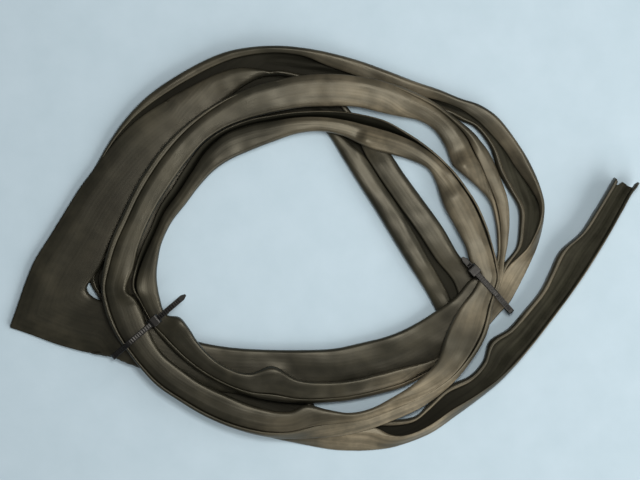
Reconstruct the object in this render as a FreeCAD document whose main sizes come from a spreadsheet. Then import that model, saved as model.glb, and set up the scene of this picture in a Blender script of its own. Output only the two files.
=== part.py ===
import FreeCAD, Part
import math
import os

# A slit bicycle inner tube, wound in flat laps and held by two nylon cable ties.
# Frame: +Z up, millimetres, origin at the middle of the coil's footprint, on the surface it lies on.

doc = FreeCAD.newDocument("inner_tube")

# ---------------------------------------------------------------- driving dimensions
SIZES = [
    ("strap_wide", 2.5),       # cable tie strap
    ("strap_thick", 1.0),
    ("loop_long", 32.5),       # tie loop, outer face to outer face, along the strap
    ("root_low", 9.7),         # underside of the strap where it leaves the head
    ("run_low", 10.9),         # underside of the strap's top run
    ("head_start", 23.9),      # head block, measured from the loop's outer face
    ("head_long", 4.6),
    ("head_wide", 4.4),
    ("head_tall", 4.3),
    ("slot_play", 0.1),        # gap round the strap inside the head
    ("slot_overrun", 1.0),     # how far the slot's cutter passes each end of the head
    ("cavity_start", 24.4),    # pawl pocket in the head
    ("cavity_long", 3.5),
    ("cavity_top", 13.3),
    ("cavity_play", 0.2),      # gap at each side of the pawl
    ("over_run_end", 24.4),    # where the band's top run stops inside the head
    ("pawl_long", 2.8),
    ("pawl_wide", 1.6),
    ("pawl_thick", 0.6),
    ("pawl_low", 12.0),        # the tooth's point, just above the strap
    ("pawl_gap", 0.1),         # between the pocket's end and the pawl
    ("tooth_long", 0.7),
    ("tooth_tall", 0.2),
    ("tail_start", 24.6),
    ("left_tail_end", 42.2),   # shoulder where the left tie's tip starts to taper
    ("right_tail_end", 32.2),
    ("tip_long", 1.8),
    ("tip_wide", 0.9),
    ("groove_play", 0.15),     # gap between a strap and the rubber it presses on
    ("shoulder", 0.16),        # share of a band's width taken by each sloped upper edge
]

sheet = doc.addObject("Spreadsheet::Sheet", "sizes")
for row, (alias, value) in enumerate(SIZES, start=1):
    sheet.set("A%d" % row, alias)
    sheet.set("B%d" % row, str(value))
    sheet.setAlias("B%d" % row, alias)
doc.recompute()


def size(alias):
    return float(sheet.get(alias))


# ---------------------------------------------------------------- the tube's stretches
# Each station of a stretch is (outer edge x, y, inner edge x, y, underside z, top z), in order along the
# tube. A stretch starts with the last station of the one before it, so that the two meet face to face.
STRETCHES = [
    ("tube_outer_lap_right", [
        (75, -35, 69, -28, 1.2, 3.8),
        (84, -24, 76.5, -17, 1.2, 3.8),
        (93.5, -8, 82.5, -8.5, 0.4, 4.3),
        (99.5, 10.5, 88.5, 10.5, 0, 7),
        (99, 25, 84, 26.5, 0, 7),
        (89, 46.5, 77, 44.5, 0, 7),
        (75.5, 62.5, 70, 56, 0, 6.5),
        (57.5, 70.5, 55, 64, 0, 3.3),
    ]),
    ("tube_outer_lap_top", [
        (57.5, 70.5, 55, 64, 0, 3.3),
        (39.5, 77, 38, 67.5, 0, 4.8),
        (21.5, 83.5, 19, 74.5, 0, 4.8),
        (3.5, 88.5, 3.5, 76, 0, 4.8),
        (-14.5, 91.5, -14.5, 77, 0, 4.8),
        (-32.5, 91.2, -31.5, 74.5, 0, 4.8),
        (-50.5, 86.5, -43.5, 67.5, 0, 4.8),
        (-68.5, 76.5, -56, 57, 0, 4.8),
    ]),
    ("tube_outer_lap_left", [
        (-68.5, 76.5, -56, 57, 0, 4.8),
        (-84, 64, -68.5, 46.5, 0, 4.8),
        (-96.5, 48, -78.5, 34.5, 0, 4.8),
        (-105.5, 33.5, -86, 22, 0, 4.8),
        (-118, 14.5, -92.5, 9.5, 0, 4.5),
        (-129, -2.5, -98.5, -4, 0, 4),
        (-136, -20, -105, -16, 0, 4),
    ]),
    ("tube_corner", [
        (-136, -20, -105, -16, 0, 4),
        (-142, -35.5, -105.5, -19, 0, 3.6),
        (-125, -41.5, -103, -21.5, 0, 3.6),
        (-104.5, -47.5, -98, -24, 0, 3.6),
    ]),
    ("tube_lower_band_left", [
        (-104.5, -47.5, -98, -24, 0, 3.6),
        (-98.5, -48, -95, -27, 3, 5.8),
        (-94, -48.5, -88, -31, 3.6, 5.9),
        (-82, -53.5, -73, -35.5, 3.6, 5.9),
        (-58, -60, -52, -43, 3.2, 5.8),
        (-32.5, -64.5, -32.5, -45, 0, 3),
    ]),
    ("tube_lower_band_right", [
        (-32.5, -64.5, -32.5, -45, 0, 3),
        (-10, -65.5, -10, -46, 0, 3),
        (12.5, -62.5, 12.5, -43.5, 0, 3),
        (33, -54.5, 28, -40, 0, 3),
        (46.5, -46.5, 44, -32.5, 1.2, 4.2),
        (57.5, -37.5, 52, -27, 2.6, 5.6),
        (69, -29, 62.5, -18.5, 4, 6.5),
        (79, -20, 73, -13, 4, 6.5),
    ]),
    ("tube_middle_lap_right", [
        (79, -20, 73, -13, 4, 6.5),
        (82.5, -6, 77.2, -4, 4.4, 6.6),
        (84.5, 15.5, 75.5, 14, 0, 6),
        (80.5, 32, 67.5, 29.5, 0, 6),
        (72, 48.5, 57, 41, 0, 6.5),
        (57.5, 61, 48.5, 54.5, 3.5, 9),
    ]),
    ("tube_middle_lap_top", [
        (57.5, 61, 48.5, 54.5, 3.5, 9),
        (39.5, 71.5, 35, 59, 5, 10.5),
        (21.5, 77, 19, 62.5, 5, 10.5),
        (3.5, 78.5, 3.5, 64, 5, 10.5),
        (-14.5, 77.5, -14.5, 62.5, 5, 10.5),
        (-32.5, 72.5, -32.5, 59, 5, 10.5),
        (-50.5, 64, -48, 51.5, 5, 10.5),
    ]),
    ("tube_middle_lap_left", [
        (-50.5, 64, -48, 51.5, 5, 10.5),
        (-68.5, 49.5, -60.5, 39.5, 5, 10.5),
        (-81, 32.5, -71, 25, 5, 10.5),
        (-90, 14.5, -79.5, 12, 5, 10.5),
        (-97.5, -3, -84, -3, 5, 10.5),
        (-99, -17.5, -86, -16.5, 5, 10.5),
        (-95.5, -33.5, -80, -33.5, 6, 10.7),
        (-87.5, -47, -72.5, -42.5, 6, 10.7),
    ]),
    ("tube_middle_lap_bottom_left", [
        (-87.5, -47, -72.5, -42.5, 6, 10.7),
        (-74, -61, -61, -53, 6, 11),
        (-55, -74.5, -45, -62.5, 6, 11),
        (-35, -82, -31.5, -70, 5.4, 11),
        (-14.5, -85.5, -15.5, -73, 5.4, 11),
    ]),
    ("tube_middle_lap_bottom_right", [
        (-14.5, -85.5, -15.5, -73, 5.4, 11),
        (3.5, -85, -2, -71, 5.4, 11),
        (21.5, -81, 16, -72.5, 5.4, 11),
        (39.5, -74.5, 34, -66, 5.6, 11),
        (55, -64, 47.5, -56, 6.6, 11),
        (69, -48, 53.5, -45.5, 6.6, 11),
        (76.5, -33, 60, -30, 6.6, 11),
        (79.5, -15.5, 70, -10.5, 6.7, 10.7),
    ]),
    ("tube_inner_lap_right", [
        (79.5, -15.5, 70, -10.5, 6.7, 10.7),
        (76, -1.5, 65.5, -3, 5.8, 9.5),
        (73.5, 12, 58.5, 12, 0, 6),
        (64, 28.5, 51, 28, 0, 6),
        (48.5, 45.5, 43, 38, 0.8, 6.5),
        (32.5, 55.5, 29.5, 42.5, 4, 9),
    ]),
    ("tube_inner_lap_top", [
        (32.5, 55.5, 29.5, 42.5, 4, 9),
        (12.5, 60.5, 10, 50, 5, 10),
        (-8, 61, -6.5, 52.5, 5, 10),
        (-25.5, 58, -24.5, 47, 5, 10),
        (-41.5, 53, -39, 41, 5, 10),
        (-55, 43, -51.5, 32.5, 5, 10),
    ]),
    ("tube_inner_lap_left", [
        (-55, 43, -51.5, 32.5, 5, 10),
        (-66.5, 28.5, -59.5, 22, 5, 10),
        (-76, 14, -68.5, 10, 5, 10),
        (-82.5, 1, -73.5, -1.5, 5, 10),
        (-85, -14, -74, -15, 5, 10),
        (-82, -25.5, -71.5, -26.5, 5.5, 9.6),
        (-78.5, -33, -68, -31.5, 6, 9.4),
        (-70.5, -42, -58.5, -38.5, 6, 9.8),
    ]),
    ("tube_inner_lap_bottom", [
        (-70.5, -42, -58.5, -38.5, 6, 9.8),
        (-56, -55, -48.5, -47.5, 6, 10.5),
        (-38, -64, -34.5, -55.5, 4.5, 10),
        (-14.5, -69.5, -14.5, -56.5, 3.2, 8),
        (8, -69, 5.5, -60, 3.2, 8),
        (28, -64, 26, -56, 3.2, 7),
        (43, -57, 41, -52, 3.2, 5.5),
        (58.5, -50, 53, -46.5, 0, 2.4),
    ]),
    ("tube_hidden_fold", [
        (58.5, -50, 53, -46.5, 0, 2.4),
        (67, -42, 54, -42, 0, 2.4),
        (67.5, -33, 53, -35, 0, 2.4),
        (63.5, -22, 51.5, -28, 0, 2.4),
    ]),
    ("tube_chord", [
        (63.5, -22, 51.5, -28, 0, 2.4),
        (61, -8, 40.5, -9.5, 0, 5),
        (53, 12, 29.5, 8.5, 0, 5),
        (42, 27.5, 19.5, 25, 0, 4),
        (32, 41.5, 9, 41, 0, 3.4),
        (22.5, 52.5, 0, 53.5, 0, 3.8),
        (10.5, 66, -10, 58, 0, 4.8),
    ]),
    ("tube_under_lap_top", [
        (10.5, 66, -10, 58, 0, 4.8),
        (-10, 73.5, -23.5, 55, 0, 4.8),
        (-31.5, 70.5, -37, 52, 0, 4.8),
        (-46, 62, -49.5, 44, 0, 4.8),
        (-59.5, 51.5, -60, 33, 0, 4.8),
    ]),
    ("tube_under_lap_left", [
        (-59.5, 51.5, -60, 33, 0, 4.8),
        (-72, 38, -66, 22, 0, 4.8),
        (-82, 23, -72, 8, 0, 4.8),
        (-89, 8, -76, -4, 0, 4.8),
        (-94, -8, -77, -14, 0, 4.8),
        (-95.5, -20, -76.5, -24, 1.2, 3.4),
        (-94.5, -31, -74, -33, 1.2, 3.4),
        (-88, -45.5, -70, -41, 1.2, 3.4),
    ]),
    ("tube_under_lap_bottom", [
        (-88, -45.5, -70, -41, 1.2, 3.4),
        (-78, -57.5, -62, -52.5, 0, 3),
        (-57, -72, -46.5, -63.5, 0, 3),
        (-37, -80.5, -29, -70, 0, 5),
        (-14.5, -87, -11, -74, 0, 5),
    ]),
    ("tube_tail_base", [
        (-14.5, -87, -11, -74, 0, 5),
        (3.5, -90.5, 7, -76, 0, 5),
        (21.5, -91.5, 24, -77, 0, 5),
        (39.5, -88, 37, -76, 0, 5),
        (55, -80, 49.5, -68, 0, 5.5),
        (71, -68, 65, -57, 0, 6.4),
    ]),
    ("tube_tail_end", [
        (71, -68, 65, -57, 0, 6.4),
        (84.5, -56, 76, -42, 0, 7),
        (98, -39.5, 89, -30, 0, 8),
        (111.5, -21.5, 101, -12.5, 0, 8),
        (125, -1, 112.5, 2.5, 0, 8),
        (134, 14.5, 121.5, 14.5, 0.5, 9),
        (142, 28.5, 130, 30.5, 1.5, 10),
    ]),
]

# Each tie: name, where its loop's outer face stands, the strap's heading in plan, its tail's alias.
TIES = [
    ("left_tie", (-94.6, -49.1), 40.5, "left_tail_end"),
    ("right_tie", (85.6, -28.7), 132.6, "right_tail_end"),
]


def tie_placement(corner, heading):
    turn = FreeCAD.Rotation(FreeCAD.Vector(0, 0, 1), heading)
    return FreeCAD.Placement(FreeCAD.Vector(corner[0], corner[1], 0), turn)


def strap_runs(play):
    """Boxes (start, length, low z, height) of the strap's runs round the bundle, grown by play."""
    thick = size("strap_thick")
    far = size("loop_long")
    runs = [
        (0, far, 0, thick),
        (0, thick, 0, size("run_low") + thick),
        (0, size("over_run_end"), size("run_low"), thick),
        (far - thick, thick, 0, size("root_low") + thick),
        (size("head_start") + size("head_long"), far - size("head_start") - size("head_long"),
         size("root_low"), thick),
    ]
    return [(a - play, long + 2 * play, low - play, tall + 2 * play) for a, long, low, tall in runs]


def groove_solid(corner, heading):
    """The room that a tie's band and head need in the rubber, with a little play."""
    play = size("groove_play")
    wide = size("strap_wide") + 2 * play
    solids = []
    for start, long, low, tall in strap_runs(play):
        solids.append(Part.makeBox(long, wide, tall, FreeCAD.Vector(start, -wide / 2, low)))
    head_wide = size("head_wide") + 2 * play
    head_corner = FreeCAD.Vector(size("head_start") - play, -head_wide / 2, size("root_low") - play)
    solids.append(Part.makeBox(size("head_long") + 2 * play, head_wide, size("head_tall"), head_corner))
    groove = solids[0].fuse(solids[1:])
    groove.Placement = tie_placement(corner, heading)
    return groove


def section_wire(station):
    """A band's section at one station: flat underside, upright sides, sloped upper edges."""
    ox, oy, ix, iy, low, top = station
    share = size("shoulder")
    across = ((0, low), (1, low), (1, (low + top) / 2), (1 - share, top), (share, top), (0, (low + top) / 2))
    corners = []
    for part, height in across:
        corners.append(FreeCAD.Vector(ox + (ix - ox) * part, oy + (iy - oy) * part, height))
    return Part.makePolygon(corners + corners[:1])


def tube_stretch(label, stations, grooves):
    solid = Part.makeLoft([section_wire(station) for station in stations], True, True)
    for groove in grooves:
        if solid.BoundBox.intersect(groove.BoundBox) and solid.common(groove).Volume > 0.001:
            solid = solid.cut(groove)
    item = doc.addObject("Part::Feature", label)
    item.Label = label
    item.Shape = solid
    item.Placement = FreeCAD.Placement()
    return item


# ---------------------------------------------------------------- cable ties
def bound_box(name, length, width, height, base_x, base_y, base_z):
    """A Part::Box whose sizes and corner are expressions on the sheet's cells."""
    box = doc.addObject("Part::Box", name)
    for prop, formula in (("Length", length), ("Width", width), ("Height", height)):
        box.setExpression(prop, formula)
    for axis, formula in (("x", base_x), ("y", base_y), ("z", base_z)):
        box.setExpression(".Placement.Base." + axis, formula)
    return box


def fused(name, pieces):
    whole = doc.addObject("Part::MultiFuse", name)
    whole.Shapes = pieces
    return whole


def tie_head(prefix):
    block = bound_box(prefix + "_head_block", "sizes.head_long", "sizes.head_wide", "sizes.head_tall",
                      "sizes.head_start", "-sizes.head_wide / 2", "sizes.root_low")
    slot = bound_box(prefix + "_head_slot", "sizes.head_long + 2 * sizes.slot_overrun",
                     "sizes.strap_wide + 2 * sizes.slot_play", "sizes.strap_thick + 2 * sizes.slot_play",
                     "sizes.head_start - sizes.slot_overrun", "-sizes.strap_wide / 2 - sizes.slot_play",
                     "sizes.run_low - sizes.slot_play")
    pocket = bound_box(prefix + "_head_pocket", "sizes.cavity_long",
                       "sizes.pawl_wide + 2 * sizes.cavity_play",
                       "sizes.cavity_top - sizes.run_low", "sizes.cavity_start",
                       "-sizes.pawl_wide / 2 - sizes.cavity_play", "sizes.run_low")
    head = doc.addObject("Part::Cut", prefix + "_head")
    head.Base = block
    head.Tool = fused(prefix + "_head_room", [slot, pocket])
    return head


def tie_band(prefix):
    thick = "sizes.strap_thick"
    wide = "sizes.strap_wide"
    side = "-sizes.strap_wide / 2"
    under = bound_box(prefix + "_under_run", "sizes.loop_long", wide, thick, "0", side, "0")
    near = bound_box(prefix + "_near_riser", thick, wide, "sizes.run_low + sizes.strap_thick",
                     "0", side, "0")
    over = bound_box(prefix + "_over_run", "sizes.over_run_end", wide, thick, "0", side, "sizes.run_low")
    far = bound_box(prefix + "_far_riser", thick, wide, "sizes.root_low + sizes.strap_thick",
                    "sizes.loop_long - sizes.strap_thick", side, "0")
    root = bound_box(prefix + "_root_run", "sizes.loop_long - sizes.head_start - sizes.head_long", wide,
                     thick, "sizes.head_start + sizes.head_long", side, "sizes.root_low")
    return fused(prefix + "_band", [under, near, over, far, root])


def tie_tail(prefix, end_alias):
    strip = bound_box(prefix + "_tail_strip", "sizes.%s - sizes.tail_start" % end_alias,
                      "sizes.strap_wide", "sizes.strap_thick", "sizes.tail_start",
                      "-sizes.strap_wide / 2", "sizes.run_low")
    tip = doc.addObject("Part::Wedge", prefix + "_tail_tip")
    # The wedge narrows along its own Y, which is turned to run along the strap.
    for prop, formula in (
            ("Xmin", "-sizes.strap_wide / 2"), ("Xmax", "sizes.strap_wide / 2"),
            ("X2min", "-sizes.tip_wide / 2"), ("X2max", "sizes.tip_wide / 2"),
            ("Ymin", "0"), ("Ymax", "sizes.tip_long"),
            ("Zmin", "0"), ("Zmax", "sizes.strap_thick"),
            ("Z2min", "0"), ("Z2max", "sizes.strap_thick")):
        tip.setExpression(prop, formula)
    tip.Placement.Rotation = FreeCAD.Rotation(FreeCAD.Vector(0, 0, 1), -90)
    tip.setExpression(".Placement.Base.x", "sizes." + end_alias)
    tip.setExpression(".Placement.Base.z", "sizes.run_low")
    return fused(prefix + "_tail", [strip, tip])


def tie_pawl(prefix):
    arm = bound_box(prefix + "_pawl_arm", "sizes.pawl_long", "sizes.pawl_wide", "sizes.pawl_thick",
                    "sizes.cavity_start + sizes.pawl_gap", "-sizes.pawl_wide / 2",
                    "sizes.pawl_low + sizes.tooth_tall / 2")
    tooth = bound_box(prefix + "_pawl_tooth", "sizes.tooth_long", "sizes.pawl_wide", "sizes.tooth_tall",
                      "sizes.cavity_start + sizes.pawl_gap + sizes.pawl_long - sizes.tooth_long",
                      "-sizes.pawl_wide / 2", "sizes.pawl_low")
    return fused(prefix + "_pawl", [arm, tooth])


# ---------------------------------------------------------------- build
nodes = []
grooves = [groove_solid(corner, heading) for _name, corner, heading, _end in TIES]
for label, stations in STRETCHES:
    nodes.append(tube_stretch(label, stations, grooves))

for prefix, corner, heading, end_alias in TIES:
    for piece in (tie_head(prefix), tie_band(prefix), tie_tail(prefix, end_alias), tie_pawl(prefix)):
        piece.Label = piece.Name
        piece.Placement = tie_placement(corner, heading)
        nodes.append(piece)

doc.recompute()

# ---------------------------------------------------------------- check and write
for item in doc.Objects:
    if "Invalid" in item.State or "Error" in item.State:
        raise SystemExit("%s did not recompute: %s" % (item.Name, item.State))

os.makedirs("parts", exist_ok=True)
box = FreeCAD.BoundBox()
for node in nodes:
    shape = node.Shape
    if shape.isNull() or not shape.isValid() or not shape.Solids:
        raise SystemExit("%s has no valid solid" % node.Label)
    shape.exportStep("parts/%s.step" % node.Label)
    box.add(shape.BoundBox)
    print("%-30s %9.1f mm3" % (node.Label, shape.Volume))
print("box", [round(v, 2) for v in (box.XMin, box.XMax, box.YMin, box.YMax, box.ZMin, box.ZMax)])
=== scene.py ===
import math

import bmesh
import bpy
import numpy as np
from mathutils import Matrix, Vector, noise


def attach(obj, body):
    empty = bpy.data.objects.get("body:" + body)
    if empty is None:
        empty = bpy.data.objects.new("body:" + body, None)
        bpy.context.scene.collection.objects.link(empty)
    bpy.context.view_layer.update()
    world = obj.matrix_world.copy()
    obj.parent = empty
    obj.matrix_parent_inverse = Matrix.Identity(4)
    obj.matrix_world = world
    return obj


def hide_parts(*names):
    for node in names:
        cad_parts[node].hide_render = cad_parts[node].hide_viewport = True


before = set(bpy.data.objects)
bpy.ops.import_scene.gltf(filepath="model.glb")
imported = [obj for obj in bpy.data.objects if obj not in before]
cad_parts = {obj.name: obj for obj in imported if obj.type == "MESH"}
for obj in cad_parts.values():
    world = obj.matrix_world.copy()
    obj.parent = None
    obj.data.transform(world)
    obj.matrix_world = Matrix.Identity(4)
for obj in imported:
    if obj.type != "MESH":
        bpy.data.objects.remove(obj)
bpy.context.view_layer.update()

MM = 0.001


# ---------------------------------------------------------------- camera
CAMERA_HEIGHT = 0.9
VIEW_WIDTH = 0.288          # what the camera sees across, at the laps' mean height
MEAN_HEIGHT = 0.006
VIEW_CENTRE = (-0.001, 0.004)


def make_camera():
    data = bpy.data.cameras.new("camera")
    data.lens = data.sensor_width * (CAMERA_HEIGHT - MEAN_HEIGHT) / VIEW_WIDTH
    data.clip_start = 0.01
    camera = bpy.data.objects.new("camera", data)
    camera.location = (*VIEW_CENTRE, CAMERA_HEIGHT)
    bpy.context.scene.collection.objects.link(camera)
    bpy.context.scene.camera = camera


make_camera()


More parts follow.
